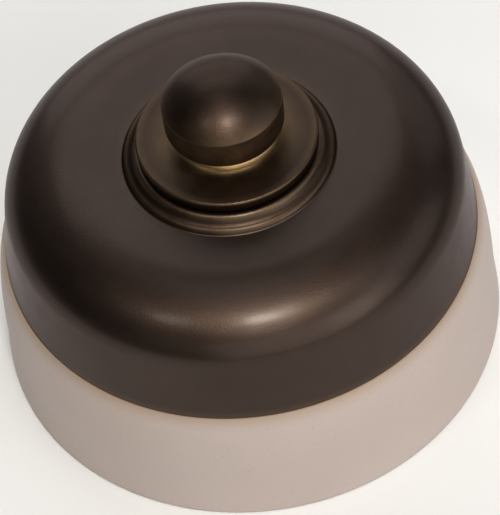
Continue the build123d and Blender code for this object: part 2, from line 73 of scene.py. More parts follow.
# Base
BASE_FOOT_R = 32.5 * MM
BASE_SIDE_R = 32.05 * MM
BASE_SIDE_H = 6.1 * MM
BASE_H = 18.0 * MM
BASE_EDGE_ROUND = 0.5 * MM
BASE_FLOOR = 4.0 * MM
CAVITY_R = 26.0 * MM
CAVITY_ROUND = 1.0 * MM
BACK_RECESS_R = 24.5 * MM
BACK_RECESS = 1.2 * MM
SPIGOT_R = 28.76 * MM
SPIGOT_H = 2.4 * MM
SPIGOT_CHAMFER = 0.5 * MM
CABLE_HOLE_R = 6.0 * MM
HOLE_EDGE_ROUND = 0.3 * MM
FIXING_CIRCLE_R = 21.5 * MM
FIXING_HOLE_R = 2.25 * MM
FIXING_HEAD_R = 4.2 * MM
FIXING_SINK_ANGLE = 82.0
FIXING_ANGLES = (45.0, 225.0)
PILLAR_R = 4.2 * MM
PILLAR_H = 5.0 * MM
SOCKET_R = 2.35 * MM
SOCKET_DEPTH = 5.55 * MM
RIB_T = 1.4 * MM
RIB_H = 4.0 * MM
RIB_GAP = 0.2 * MM
POST_HOLE_R = 1.4 * MM
POST_POCKET_R = 2.55 * MM
POST_POCKET = 1.2 * MM

# Cover
COVER_RIM_R = 30.4 * MM
COVER_SHEET = 1.0 * MM
COVER_H = 14.85 * MM
COVER_LEAN = 7.9
SHOULDER_W = 11.0 * MM
SHOULDER_H = 6.85 * MM
PLINTH_R = 13.2 * MM
PLINTH_H = 1.7 * MM
PLINTH_STEP = 0.6 * MM
PLINTH_BEVEL = 1.1 * MM
PLINTH_ROUND = 0.25 * MM
FOOT_OUT = 0.25 * MM
FOOT_ROUND = 0.25 * MM
RIDGE_R = PLINTH_R - PLINTH_BEVEL
RIDGE_ROUND = 0.7 * MM
RIDGE_LEAN = 30.0
WELL_R = 8.7 * MM
WELL_DEPTH = 2.0 * MM
COVER_HOLE_R = 5.25 * MM
RIM_ROUND = 0.15 * MM

# Knob
KNOB_GAP = 0.5 * MM
FLANGE_R = 11.45 * MM
FLANGE_T = 1.4 * MM
FLANGE_ROUND = 0.3 * MM
SWEEP_W = 1.8 * MM
SWEEP_H = 1.3 * MM
NECK_R = 5.6 * MM
NECK_H = 0.1 * MM
UNDER_H = 1.7 * MM
SIDE_R = 7.5 * MM
SIDE_H = 3.3 * MM
GRUB_DROP = 2.05 * MM
CAP_H = 3.2 * MM
CAP_EDGE_ROUND = 0.12 * MM
KNOB_RECESS_R = 6.4 * MM
KNOB_RECESS = 0.5 * MM
KNOB_BORE_R = 3.05 * MM
KNOB_BORE_FLAT = 1.55 * MM
KNOB_BORE_H = 8.2 * MM
GRUB_HOLE_R = 1.3 * MM

# Levels, from the wall outwards
FLOOR_Z = BACK_RECESS + BASE_FLOOR
COVER_FOOT_Z = BASE_H + COVER_H
LIP_Z = COVER_FOOT_Z + PLINTH_STEP
PLINTH_Z = COVER_FOOT_Z + PLINTH_H
WELL_Z = PLINTH_Z - WELL_DEPTH
KNOB_Z = PLINTH_Z + KNOB_GAP
FLANGE_Z = KNOB_Z + FLANGE_T
NECK_Z = FLANGE_Z + SWEEP_H
UNDER_Z = NECK_Z + NECK_H
SIDE_Z = UNDER_Z + UNDER_H
EDGE_Z = SIDE_Z + SIDE_H
GRUB_Z = EDGE_Z - GRUB_DROP

# Rubbed spots of the bronze, and the painted shade in the plinth's cove: the reach and the strength of each
LIP_RUB = (0.5 * MM, 0.06)
RIDGE_RUB = (0.4 * MM, 0.16)
RIM_RUB = (0.4 * MM, 0.07)
COVE_PAINTED_SHADE = (0.6 * MM, 0.8)
FLANGE_RUB = (0.5 * MM, 0.08)
HEAD_EDGE_RUB = (0.4 * MM, 0.06)
SIDE_RUB = (2.4 * MM, 0.14)
# The neck's and the sweep's spots are partly rubbed brass and partly a painted glint and warm reflected
# glow
NECK_RUB_AND_GLINT = (0.7 * MM, 1.0)
SWEEP_RUB_AND_GLOW = (2.4 * MM, 0.10)

# Places of the spots that lie on no edge, and the least darkness of the knob
COVE_SHARE = 0.45
NECK_SPOT_OUT = 0.3 * MM
NECK_SPOT_DROP = 0.7 * MM
SWEEP_SPOT_OUT = 1.2 * MM
KNOB_PATINA = 0.35

# Fineness of the turned meshes
TURN_STEPS = 256
HOLE_STEPS = 48
EASE_STEPS = 8
ARC_STEP = 4.0
FINE_STEP = 1.5
RIDGE_STEP = 10.0
ROUND_STEP = 15.0
SPAN = 1.2 * MM
SHARP_ANGLE = 30.0
OVERRUN = 0.5 * MM
TINY = 1e-7

# Point of the cove, counted from the lip, where the lip's soft curve ends
LIP_POINT = 4


def polar(centre, radius, angle):
    """Point at an angle about a centre; radius is one number, or two for an ellipse."""
    across, up = radius if isinstance(radius, tuple) else (radius, radius)
    turn = math.radians(angle)
    return centre[0] + across * math.cos(turn), centre[1] + up * math.sin(turn)


def between(first, second, share):
    """Point a share of the way from one point to another."""
    return tuple(a + (b - a) * share for a, b in zip(first, second))


def arc(centre, radius, start, turn, step=ARC_STEP):
    """Points along an arc of a section."""
    count = max(2, math.ceil(abs(turn) / step))
    return [polar(centre, radius, start + turn * n / count) for n in range(count + 1)]


def eased(start, corner, end):
    """Points of a smooth curve from start to end that cuts the corner between them."""
    shares = [n / EASE_STEPS for n in range(EASE_STEPS + 1)]
    return [between(between(start, corner, s), between(corner, end, s), s) for s in shares]


def rounded(points, radius):
    """Open path whose inner corners are rounded to one radius."""
    path = [points[0]]
    for before, corner, after in zip(points, points[1:], points[2:]):
        here = Vector(corner)
        back = (Vector(before) - here).normalized()
        on = (Vector(after) - here).normalized()
        half = back.angle(on) / 2
        centre = here + (back + on).normalized() * (radius / math.sin(half))
        first = here + back * (radius / math.tan(half)) - centre
        last = here + on * (radius / math.tan(half)) - centre
        start = math.degrees(math.atan2(first.y, first.x))
        turn = math.degrees(math.atan2(last.y, last.x)) - start
        turn = (turn + HALF) % FULL - HALF
        path += arc(tuple(centre), radius, start, turn, ROUND_STEP)
    return path + [points[-1]]


def divided(section):
    """Closed section with its long straight runs cut into short spans."""
    fine = []
    for here, there in zip(section, section[1:] + section[:1]):
        length = math.dist(here, there)
        if length < TINY:
            continue
        on_axis = here[0] < TINY and there[0] < TINY
        count = 1 if on_axis else max(1, math.ceil(length / SPAN))
        fine += [between(here, there, n / count) for n in range(count)]
    return fine


def circle(centre, radius, steps=HOLE_STEPS):
    """Points of a circle, seen along z."""
    return [polar(centre, radius, FULL * n / steps) for n in range(steps)]


def rectangle(centre, width, depth):
    """Corners of a rectangle, seen along z."""
    x, y = width / 2, depth / 2
    return [(centre[0] + i, centre[1] + j) for i, j in ((-x, -y), (x, -y), (x, y), (-x, y))]


def ring(form, radius, height, steps):
    """Vertices of one ring about the axis, or the single point on it."""
    if radius < TINY:
        return [form.verts.new((*ORIGIN, height))]
    return [form.verts.new((x, y, height)) for x, y in circle(ORIGIN, radius, steps)]


def band(form, low, high):
    """Faces between two rings of vertices, one of which may be a single point."""
    steps = max(len(low), len(high))
    for n in range(steps):
        m = (n + 1) % steps
        corners = [low[n % len(low)], low[m % len(low)], high[m % len(high)], high[n % len(high)]]
        form.faces.new(list(dict.fromkeys(corners)))


def finished(name, form):
    """Mesh object from a bmesh, smooth between its sharp edges."""
    for face in form.faces:
        face.smooth = True
    for edge in form.edges:
        if len(edge.link_faces) == 2:
            edge.smooth = edge.calc_face_angle() < math.radians(SHARP_ANGLE)
    mesh = bpy.data.meshes.new(name)
    form.to_mesh(mesh)
    form.free()
    made = bpy.data.objects.new(name, mesh)
    bpy.context.scene.collection.objects.link(made)
    return made


def lathe(name, section, steps=TURN_STEPS):
    """Closed half section turned about the z axis into one mesh object."""
    form = bmesh.new()
    rings = [ring(form, radius, height, steps) for radius, height in divided(section)]
    for low, high in zip(rings, rings[1:] + rings[:1]):
        if max(len(low), len(high)) > 1:
            band(form, low, high)
    bmesh.ops.recalc_face_normals(form, faces=form.faces)
    return finished(name, form)


def prism(outline, low, high):
    """Upright prism between two levels, used to carve a piece."""
    form = bmesh.new()
    bottom, top = ([form.verts.new((x, y, level)) for x, y in outline] for level in (low, high))
    form.faces.new(list(reversed(bottom)))
    form.faces.new(top)
    band(form, bottom, top)
    return finished("tool", form)


def carve(piece, tools, how):
    """Cut tools out of a piece, or join them to it, and drop the tools."""
    for tool in tools:
        step = piece.modifiers.new(how, "BOOLEAN")
        step.operation = how
        step.solver = "EXACT"
        step.object = tool
    shape = bpy.data.meshes.new_from_object(piece.evaluated_get(bpy.context.evaluated_depsgraph_get()))
    form = bmesh.new()
    form.from_mesh(shape)
    bpy.data.meshes.remove(shape)
    name = piece.name
    for used in (*tools, piece):
        bpy.data.objects.remove(used)
    return finished(name, form)


def strengths(here, spots):
    """How strongly each spot shows at a section point; a spot is its centre, its reach and its strength."""
    return [force * math.exp(-((math.dist(here, centre) / reach) ** 2)) for centre, reach, force in spots]


def mark_wear(piece, rubbed, painted_shade_spots=(), least=0.0):
    """Store on each point of a piece how rubbed it is, and how dark from its patina, which has a least
    value, and from painted shade.
    """
    for name in ("wear_and_glint", "patina"):
        piece.data.attributes.new(name, "FLOAT", "POINT")
    rub_and_glint, patina = (piece.data.attributes[name].data for name in ("wear_and_glint", "patina"))
    for vertex in piece.data.vertices:
        here = (math.hypot(vertex.co.x, vertex.co.y), vertex.co.z)
        rub_and_glint[vertex.index].value = max(strengths(here, rubbed))
        patina[vertex.index].value = max([least, *strengths(here, painted_shade_spots)])


def base_section():
    """Half section of the porcelain base, with the cable hole at its centre."""
    spigot_z = BASE_H + SPIGOT_H
    foot = [
        (BACK_RECESS_R, BACK_RECESS),
        (BACK_RECESS_R, 0.0),
        (BASE_FOOT_R, 0.0),
        (BASE_SIDE_R, BASE_SIDE_H),
    ]
    shoulder = (BASE_SIDE_R - COVER_RIM_R, BASE_H - BASE_SIDE_H)
    inside = [
        (CAVITY_R, spigot_z),
        (CAVITY_R, FLOOR_Z),
        (CABLE_HOLE_R + CAVITY_ROUND, FLOOR_Z),
    ]
    cable_hole = [
        (CABLE_HOLE_R + CAVITY_ROUND, FLOOR_Z),
        (CABLE_HOLE_R, FLOOR_Z),
        (CABLE_HOLE_R, BACK_RECESS),
        (BACK_RECESS_R, BACK_RECESS),
    ]
    return [
        *rounded(foot, BASE_EDGE_ROUND)[1:],
        *arc((COVER_RIM_R, BASE_SIDE_H), shoulder, 0.0, QUARTER),
        (SPIGOT_R, BASE_H),
        (SPIGOT_R, spigot_z - SPIGOT_CHAMFER),
        (SPIGOT_R - SPIGOT_CHAMFER, spigot_z),
        *rounded(inside, CAVITY_ROUND),
        *rounded(cable_hole, HOLE_EDGE_ROUND)[1:],
    ]


def middle(node):
    """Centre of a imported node, seen along z."""
    low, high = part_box(node)
    return (low.x + high.x) / 2, (low.y + high.y) / 2


def countersink(x, y):
    """Tool for one fixing hole, with its sunk head on the floor of the cavity."""
    depth = (FIXING_HEAD_R - FIXING_HOLE_R) / math.tan(math.radians(FIXING_SINK_ANGLE / 2))
    section = [
        (0.0, -OVERRUN),
        (FIXING_HOLE_R, -OVERRUN),
        (FIXING_HOLE_R, FLOOR_Z - depth),
        (FIXING_HEAD_R, FLOOR_Z),
        (FIXING_HEAD_R, FLOOR_Z + OVERRUN),
        (0.0, FLOOR_Z + OVERRUN),
    ]
    tool = lathe("tool", section, HOLE_STEPS)
    tool.data.transform(Matrix.Translation((x, y, 0.0)))
    return tool


def make_base():
    """Porcelain base with its pillars, ribs and holes."""
    inserts_low, inserts_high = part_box("bridge_inserts")
    pillar_x = inserts_high.x - (inserts_high.y - inserts_low.y) / 2
    pillars = [(-pillar_x, 0.0), (pillar_x, 0.0)]
    capacitor_low, capacitor_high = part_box("capacitor")
    rib_x = capacitor_high.x + RIB_GAP + RIB_T / 2
    rib_y = (capacitor_low.y + capacitor_high.y) / 2
    rib_w = capacitor_high.y - capacitor_low.y
    posts = [middle("supply_post"), middle("fan_post")]
    root_z = FLOOR_Z - OVERRUN
    pillar_z = FLOOR_Z + PILLAR_H
    socket_z = pillar_z - SOCKET_DEPTH
    bosses = [prism(circle(place, PILLAR_R), root_z, pillar_z) for place in pillars]
    bosses += [prism(rectangle((x, rib_y), RIB_T, rib_w), root_z, FLOOR_Z + RIB_H) for x in (-rib_x, rib_x)]
    base = carve(lathe("porcelain_base", base_section()), bosses, "UNION")
    holes = [prism(circle(place, SOCKET_R), socket_z, pillar_z + OVERRUN) for place in pillars]
    holes += [prism(circle(place, POST_HOLE_R), -OVERRUN, FLOOR_Z + OVERRUN) for place in posts]
    holes += [prism(circle(place, POST_POCKET_R), -OVERRUN, BACK_RECESS + POST_POCKET) for place in posts]
    holes += [countersink(*polar(ORIGIN, FIXING_CIRCLE_R, angle)) for angle in FIXING_ANGLES]
    return carve(base, holes, "DIFFERENCE")


def plinth_edge():
    """The plinth's turned edge from its lip, through a cove, to its rounded ridge."""
    ridge_centre = (RIDGE_R - RIDGE_ROUND, PLINTH_Z - RIDGE_ROUND)
    ridge = arc(ridge_centre, RIDGE_ROUND, RIDGE_LEAN, QUARTER - RIDGE_LEAN, RIDGE_STEP)
    lip = Vector((PLINTH_R, LIP_Z))
    away = lip - Vector(ridge[0])
    outward = Vector(polar(ORIGIN, 1.0, RIDGE_LEAN))
    cove_r = away.length_squared / (2 * away.dot(outward))
    cove_centre = Vector(ridge[0]) + outward * cove_r
    end = lip - cove_centre
    start = HALF + RIDGE_LEAN
    turn = (math.degrees(math.atan2(end.y, end.x)) - start) % FULL
    cove = arc(tuple(cove_centre), cove_r, start, turn)
    return [*reversed(cove), *ridge[1:]]


def outer_plinth(crown, well):
    """The plinth's outside from the crown to the hole in its well: a soft lip, a cove and a ridge."""
    edge = plinth_edge()
    step = rounded([crown, (PLINTH_R + FOOT_OUT, COVER_FOOT_Z), edge[0]], FOOT_ROUND)
    lip = eased(step[-2], edge[0], edge[LIP_POINT])
    ridge = rounded([edge[-1], *well], PLINTH_ROUND)
    return [*step[:-2], *lip, *edge[LIP_POINT + 1:], *ridge[1:]]


def inner_plinth(crown, well, inset):
    """The plinth's underside from the crown to the hole in its well: a step and a plain bevel."""
    bevel = math.tan(math.atan2(PLINTH_BEVEL, PLINTH_H - PLINTH_STEP) / 2)
    corners = [
        crown,
        (PLINTH_R - inset, COVER_FOOT_Z - inset),
        (PLINTH_R - inset, LIP_Z - inset * bevel),
        (RIDGE_R - inset * bevel, PLINTH_Z - inset),
        *well,
    ]
    return rounded(corners, PLINTH_ROUND)


def cover_path(inset):
    """The cover's surface from its rim to the hole in its well, shrunk by an inset."""
    taper = math.tan(math.radians(COVER_LEAN))
    shoulder_z = COVER_FOOT_Z - SHOULDER_H
    wall = (shoulder_z - BASE_H) * taper
    shoulder_x = COVER_RIM_R - wall - math.hypot(SHOULDER_W, SHOULDER_H * taper)
    across, up = SHOULDER_W - inset, SHOULDER_H - inset
    wall_turn = math.degrees(math.atan2(up * taper, across))
    shoulder = arc((shoulder_x, shoulder_z), (across, up), wall_turn, QUARTER - wall_turn, FINE_STEP)
    rim = (shoulder_x + wall + math.hypot(across, up * taper), BASE_H)
    well = [
        (WELL_R + inset, PLINTH_Z - inset),
        (WELL_R + inset, WELL_Z - inset),
        (COVER_HOLE_R, WELL_Z - inset),
    ]
    crown = shoulder[-1]
    plinth = inner_plinth(crown, well, inset) if inset else outer_plinth(crown, well)
    return [rim, *shoulder[:-1], *plinth]


def cover_section():
    """Half section of the cover's sheet, with its rim just eased."""
    outer = cover_path(0.0)
    inner = cover_path(COVER_SHEET)
    rim = rounded([inner[1], inner[0], outer[0], outer[1]], RIM_ROUND)[1:-1]
    return rim + outer[1:] + inner[:0:-1]


def make_cover():
    """Spun cover, rubbed along its edges and darkened by painted shade in the plinth's cove."""
    cover = lathe("spun_cover", cover_section())
    lip, ridge = (PLINTH_R, LIP_Z), (RIDGE_R, PLINTH_Z)
    rubbed = ((lip, *LIP_RUB), (ridge, *RIDGE_RUB), ((COVER_RIM_R, BASE_H), *RIM_RUB))
    # A spot of painted shade in the plinth's cove, dimming its reflection of the front light
    painted_shade_spots = ((between(lip, ridge, COVE_SHARE), *COVE_PAINTED_SHADE),)
    mark_wear(cover, rubbed, painted_shade_spots)
    return cover


def knob_section():
    """Half section of the turned knob, with the recess under its flange."""
    dome_r = (SIDE_R ** 2 + CAP_H ** 2) / (2 * CAP_H)
    dome_edge = math.degrees(math.acos(SIDE_R / dome_r))
    dome = arc((0.0, EDGE_Z + CAP_H - dome_r), dome_r, dome_edge, QUARTER - dome_edge, FINE_STEP)
    under = arc((NECK_R, SIDE_Z), (SIDE_R - NECK_R, UNDER_H), -QUARTER, QUARTER)
    sweep = arc((NECK_R + SWEEP_W, NECK_Z), (SWEEP_W, SWEEP_H), HALF, QUARTER)
    flange = [(KNOB_RECESS_R, KNOB_Z), (FLANGE_R, KNOB_Z), (FLANGE_R, FLANGE_Z), sweep[-1]]
    head_edge = rounded([under[-1], dome[0], dome[1]], CAP_EDGE_ROUND)
    return [
        (0.0, KNOB_Z + KNOB_RECESS),
        (KNOB_RECESS_R, KNOB_Z + KNOB_RECESS),
        *rounded(flange, FLANGE_ROUND),
        *reversed(sweep[:-1]),
        *under,
        *head_edge[1:],
        *dome[2:],
    ]


def make_knob():
    """Turned knob with its bore for the shaft and the hole of its grub screw, rubbed by fingers, and bright
    in its neck with brass that is partly a painted glint and warm glow.
    """
    knob = lathe("turned_knob", knob_section())
    bore = [(x, min(y, KNOB_BORE_FLAT)) for x, y in circle(ORIGIN, KNOB_BORE_R)]
    bore = [point for n, point in enumerate(bore) if math.dist(point, bore[n - 1]) > TINY]
    shaft_hole = prism(bore, KNOB_Z, KNOB_Z + KNOB_BORE_H)
    grub_hole = prism(circle(ORIGIN, GRUB_HOLE_R), 0.0, SIDE_R + OVERRUN)
    sideways = Matrix.Rotation(-math.radians(QUARTER), 4, "X")
    grub_hole.data.transform(Matrix.Translation((*ORIGIN, GRUB_Z)) @ sideways)
    knob = carve(knob, [shaft_hole, grub_hole], "DIFFERENCE")
    rubbed = (
        ((FLANGE_R, FLANGE_Z), *FLANGE_RUB),
        ((SIDE_R, EDGE_Z), *HEAD_EDGE_RUB),
        ((SIDE_R, GRUB_Z), *SIDE_RUB),
        # The neck's ring and the sweep's spot are partly rubbing and partly a painted glint and warm
        # reflected glow
        ((NECK_R + NECK_SPOT_OUT, NECK_Z - NECK_SPOT_DROP), *NECK_RUB_AND_GLINT),
        ((NECK_R + SWEEP_SPOT_OUT, FLANGE_Z), *SWEEP_RUB_AND_GLOW),
    )
    mark_wear(knob, rubbed, least=KNOB_PATINA)
    return knob


# Largest red, green or blue of a picture
BYTE = 255


def colour(red, green, blue):
    """Linear colour from a picture's red, green and blue, from 0 to 255."""
    picture = Color((red / BYTE, green / BYTE, blue / BYTE))
    return (*picture.from_srgb_to_scene_linear(), 1.0)


# Bronze: its linear colours, the sizes of its texture, and how that shows
BRONZE_DARK = (0.047, 0.0312, 0.0243, 1.0)
BRONZE_LIGHT = (0.057, 0.0384, 0.0306, 1.0)
BRONZE_BROWN = (0.053, 0.0338, 0.0243, 1.0)
BRONZE_DEEP = (0.028, 0.0180, 0.0130, 1.0)
BRONZE_RUBBED_AND_GLINT = (0.80, 0.52, 0.24, 1.0)
BRONZE_EDGE = (0.66, 0.61, 0.62, 1.0)
BRONZE_CLOUD = 11.0 * MM
BRONZE_MOTTLE = 2.4 * MM
BRONZE_GRAIN = 0.17 * MM
BRONZE_SPIN = 0.22 * MM
BROWN_SHARE = 0.35
RUB_SHARE = 0.6
BRONZE_ROUGH = (0.35, 0.41)
BRONZE_COAT = (0.24, 0.06)
COAT_PATINA = (0.0, 0.4)
COAT_ROUGH = 0.20
SPIN_BUMP = (0.05, 0.02 * MM)
GRAIN_BUMP = (0.66, 0.038 * MM)

# Porcelain: its colours, the depth of the painted shade and warm bounce light under the cover's rim, the
# sizes of its texture, and how that shows
PORCELAIN_PALE = colour(193, 179, 173)
PORCELAIN_WARM = colour(189, 174, 167)
PORCELAIN_SPECK = colour(177, 161, 152)
PORCELAIN_RIM_SHADE = colour(172, 152, 136)
RIM_SHADE_H = 2.2 * MM
PORCELAIN_CLOUD = 16.0 * MM
PORCELAIN_WAVES = 7.0 * MM
PORCELAIN_SPECKS = 0.55 * MM
PORCELAIN_PORES = 0.20 * MM
SPECK_SHARE = 0.5
SPECK_STRETCH = (0.66, 0.76)
PORCELAIN_ROUGH = (0.5, 0.62)
PORCELAIN_GLOSS = 0.3
WAVE_BUMP = (0.08, 0.3 * MM)
PORE_BUMP = (0.08, 0.03 * MM)

# Plain metals and plastics: the size of their tones, and the strength and depth of their grain
METAL_TONE = 3.0 * MM
METAL_BUMP = (0.08, 0.02 * MM)
PLASTIC_TONE = 4.0 * MM
PLASTIC_BUMP = (0.08, 0.03 * MM)
PLASTIC_GLOSS = 0.45

# Levels of detail in noise, and the stretch that most of its values lie in
SMOOTH_NOISE = 1.0
PLAIN_NOISE = 2.0
CLOUDY_NOISE = 3.0
BUSY_NOISE = 4.0
NOISE_STRETCH = (0.3, 0.7)

# Places of the Mix node's sockets for colours
MIX_FIRST, MIX_SECOND, MIX_RESULT = 6, 7, 2

# The shader's sockets, by the short names used here
SOCKETS = {
    "colour": "Base Color",
    "metallic": "Metallic",
    "roughness": "Roughness",
    "specular": "Specular IOR Level",
    "edge_tint": "Specular Tint",
    "coat": "Coat Weight",
    "coat_roughness": "Coat Roughness",
}


class Finish:
    """A material with one shader, and short ways to add texture nodes to it."""

    def __init__(self, name):
        self.material = bpy.data.materials.new(name)
        self.material.use_nodes = True
        self.tree = self.material.node_tree
        self.shader = self.tree.nodes["Principled BSDF"]
        self.place = self.add("TexCoord").outputs["Object"]

    def add(self, kind, **settings):
        """New node with some of its settings."""
        made = self.tree.nodes.new("ShaderNode" + kind)
        for name, value in settings.items():
            setattr(made, name, value)
        return made

    def put(self, socket, value):
        """Set a socket to a value, or link it to another node's output."""
        if isinstance(value, bpy.types.NodeSocket):
            self.tree.links.new(value, socket)
        else:
            socket.default_value = value

    def set(self, **sockets):
        """Set the shader's sockets by their short names."""
        for name, value in sockets.items():
            self.put(self.shader.inputs[SOCKETS[name]], value)

    def stored(self, name):
        """Value that the mesh's points hold under a name."""
        return self.add("Attribute", attribute_name=name).outputs["Fac"]

    def noise(self, size, detail=PLAIN_NOISE, place=None):
        """Noise whose features are about one size across."""
        made = self.add("TexNoise")
        self.put(made.inputs["Vector"], place or self.place)
        self.put(made.inputs["Scale"], 1.0 / size)
        self.put(made.inputs["Detail"], detail)
        return made.outputs["Fac"]

    def spread(self, value, low=0.0, high=1.0, stretch=NOISE_STRETCH):
        """Value spread from a stretch to the range from low to high."""
        made = self.add("MapRange")
        start, end = stretch
        ends = {"Value": value, "From Min": start, "From Max": end, "To Min": low, "To Max": high}
        for name, number in ends.items():
            self.put(made.inputs[name], number)
        return made.outputs["Result"]

    def mix(self, share, first, second):
        """Colour between two colours."""
        made = self.add("Mix", data_type="RGBA")
        self.put(made.inputs[0], share)
        self.put(made.inputs[MIX_FIRST], first)
        self.put(made.inputs[MIX_SECOND], second)
        return made.outputs[MIX_RESULT]

    def product(self, first, second):
        """Product of two values."""
        made = self.add("Math", operation="MULTIPLY")
        self.put(made.inputs[0], first)
        self.put(made.inputs[1], second)
        return made.outputs["Value"]

    def apart(self):
        """The x, y and z of the place on the object."""
        made = self.add("SeparateXYZ")
        self.put(made.inputs["Vector"], self.place)
        return [made.outputs[axis] for axis in "XYZ"]

    def joined(self, **axes):
        """Vector of the values given for its axes."""
        made = self.add("CombineXYZ")
        for axis, value in axes.items():
            self.put(made.inputs[axis.upper()], value)
        return made.outputs["Vector"]

    def turned_place(self):
        """Coordinates that run with the radius and the height, for marks of turning."""
        x, y, z = self.apart()
        radius = self.add("VectorMath", operation="LENGTH")
        self.put(radius.inputs[0], self.joined(x=x, y=y))
        return self.joined(x=radius.outputs["Value"], z=z)

    def bump(self, *layers):
        """Stack bump layers, each a height, a strength and a depth, on the shader."""
        normal = None
        for height, strength, depth in layers:
            made = self.add("Bump")
            self.put(made.inputs["Height"], height)
            self.put(made.inputs["Strength"], strength)
            self.put(made.inputs["Distance"], depth)
            if normal:
                self.put(made.inputs["Normal"], normal)
            normal = made.outputs["Normal"]
        self.put(self.shader.inputs["Normal"], normal)


def bronze():
    """Dark antique patina over brass: cloudy, finely grained, rubbed warm along its edges, with painted
    shade in the plinth's cove and bright brass in the knob's neck that is partly a painted glint.
    """
    finish = Finish("antique_bronze")
    cloud = finish.noise(BRONZE_CLOUD, CLOUDY_NOISE)
    mottle = finish.noise(BRONZE_MOTTLE, BUSY_NOISE)
    grain = finish.noise(BRONZE_GRAIN)
    spin = finish.noise(BRONZE_SPIN, place=finish.turned_place())
    depth = finish.stored("patina")
    patina = finish.mix(finish.spread(cloud), BRONZE_DARK, BRONZE_LIGHT)
    patina = finish.mix(finish.spread(mottle, high=BROWN_SHARE), patina, BRONZE_BROWN)
    # Darker where patina is stored: the knob's own deeper patina, and painted shade in the plinth's cove
    patina = finish.mix(depth, patina, BRONZE_DEEP)
    # Rubbed brass, and in the knob's neck also a painted glint and warm glow
    rub_and_glint = finish.product(finish.stored("wear_and_glint"), finish.spread(mottle, low=RUB_SHARE))
    finish.set(
        colour=finish.mix(rub_and_glint, patina, BRONZE_RUBBED_AND_GLINT),
        metallic=1.0,
        roughness=finish.spread(mottle, *BRONZE_ROUGH),
        edge_tint=BRONZE_EDGE,
        coat=finish.spread(depth, *BRONZE_COAT, COAT_PATINA),
        coat_roughness=COAT_ROUGH,
    )
    finish.bump((spin, *SPIN_BUMP), (grain, *GRAIN_BUMP))
    return finish.material


def porcelain():
    """Unglazed cream porcelain: faintly clouded and speckled, darkened and warmed under the cover's rim by
    painted shade and painted bounce light, matt.
    """
    finish = Finish("matt_porcelain")
    cloud = finish.noise(PORCELAIN_CLOUD, CLOUDY_NOISE)
    speck = finish.noise(PORCELAIN_SPECKS, SMOOTH_NOISE)
    pores = finish.noise(PORCELAIN_PORES)
    waves = finish.noise(PORCELAIN_WAVES, SMOOTH_NOISE)
    clay = finish.mix(finish.spread(cloud), PORCELAIN_PALE, PORCELAIN_WARM)
    specks = finish.spread(speck, high=SPECK_SHARE, stretch=SPECK_STRETCH)
    clay = finish.mix(specks, clay, PORCELAIN_SPECK)
    height = finish.apart()[2]
    # Painted shade and warm bounce light under the cover's rim, growing towards the top of the base
    rim = finish.spread(height, stretch=(BASE_H - RIM_SHADE_H, BASE_H))
    clay = finish.mix(finish.product(rim, rim), clay, PORCELAIN_RIM_SHADE)
    finish.set(colour=clay, specular=PORCELAIN_GLOSS, roughness=finish.spread(pores, *PORCELAIN_ROUGH))
    finish.bump((waves, *WAVE_BUMP), (pores, *PORE_BUMP))
    return finish.material


def plain(name, tones, rough, grain_size, tone_size, bump, turned=False):
    """Finish of two close tones, with fine grain and uneven gloss."""
    finish = Finish(name)
    first, second = (colour(*tone) for tone in tones)
    cloud = finish.noise(tone_size, CLOUDY_NOISE)
    grain = finish.noise(grain_size, place=finish.turned_place() if turned else None)
    finish.set(
        colour=finish.mix(finish.spread(cloud), first, second),
        roughness=finish.spread(grain, *rough),
    )
    finish.bump((grain, *bump))
    return finish


def metal(name, tones, rough, grain_size, turned=False):
    """Plain metal, whose grain runs around the axis where it was turned."""
    finish = plain(name, tones, rough, grain_size, METAL_TONE, METAL_BUMP, turned)
    finish.set(metallic=1.0)
    return finish.material


def plastic(name, tones, rough, grain_size):
    """Moulded plastic, with faint flow marks."""
    finish = plain(name, tones, rough, grain_size, PLASTIC_TONE, PLASTIC_BUMP)
    finish.set(specular=PLASTIC_GLOSS)
    return finish.material


# Finish of each slot; a plain one has a name, two tones, its least and most roughness, and its grain size
FINISHES = {
    "porcelain": porcelain(),
    "bronze": bronze(),
    "brass": metal("turned_brass", ((196, 160, 92), (182, 142, 74)), (0.22, 0.34), 0.2 * MM, turned=True),
    "steel": metal("zinc_steel", ((186, 190, 194), (168, 172, 170)), (0.28, 0.42), 0.4 * MM),
    "spring_metal": metal("spring_strip", ((190, 178, 156), (174, 160, 136)), (0.25, 0.36), 0.3 * MM),
    "phenolic": plastic("brown_phenolic", ((62, 44, 34), (48, 33, 25)), (0.30, 0.42), 0.5 * MM),
    "nylon": plastic("natural_nylon", ((222, 218, 204), (212, 206, 190)), (0.40, 0.52), 0.4 * MM),
    "capacitor_case": plastic("moulded_case", ((46, 46, 49), (38, 38, 41)), (0.22, 0.34), 0.3 * MM),
    "lead_insulation": plastic("wire_sleeve", ((168, 58, 44), (152, 46, 36)), (0.35, 0.46), 0.6 * MM),
}

for row in frame["record"]["subparts"]:
    solid = frame["nodes"][row["node"]]
    solid.data.materials.clear()
    solid.data.materials.append(FINISHES[row["material_slot"]])

# Turned shells, each with its body, the node that it replaces and its slot
TURNED = (
    (make_base(), "fixed", "base", "porcelain"),
    (make_cover(), "fixed", "cover", "bronze"),
    (make_knob(), "knob", "knob", "bronze"),
)
for piece, body, node, slot in TURNED:
    piece.data.materials.append(FINISHES[slot])
    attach(piece, body)
    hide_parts(node)

# Pale floor, seen from above only
FLOOR_R = 1.8
FLOOR_INSET = 1.0 * MM
FLOOR_HOLE_R = BASE_FOOT_R - FLOOR_INSET
FLOOR_DROP = 0.05 * MM
FLOOR_CLOUD = 40.0 * MM
FLOOR_PALE = (0.93, 0.95, 0.97, 1.0)
FLOOR_SHADE = (0.92, 0.94, 0.96, 1.0)
FLOOR_ROUGH = 0.8
FLOOR_GLOSS = 0.1


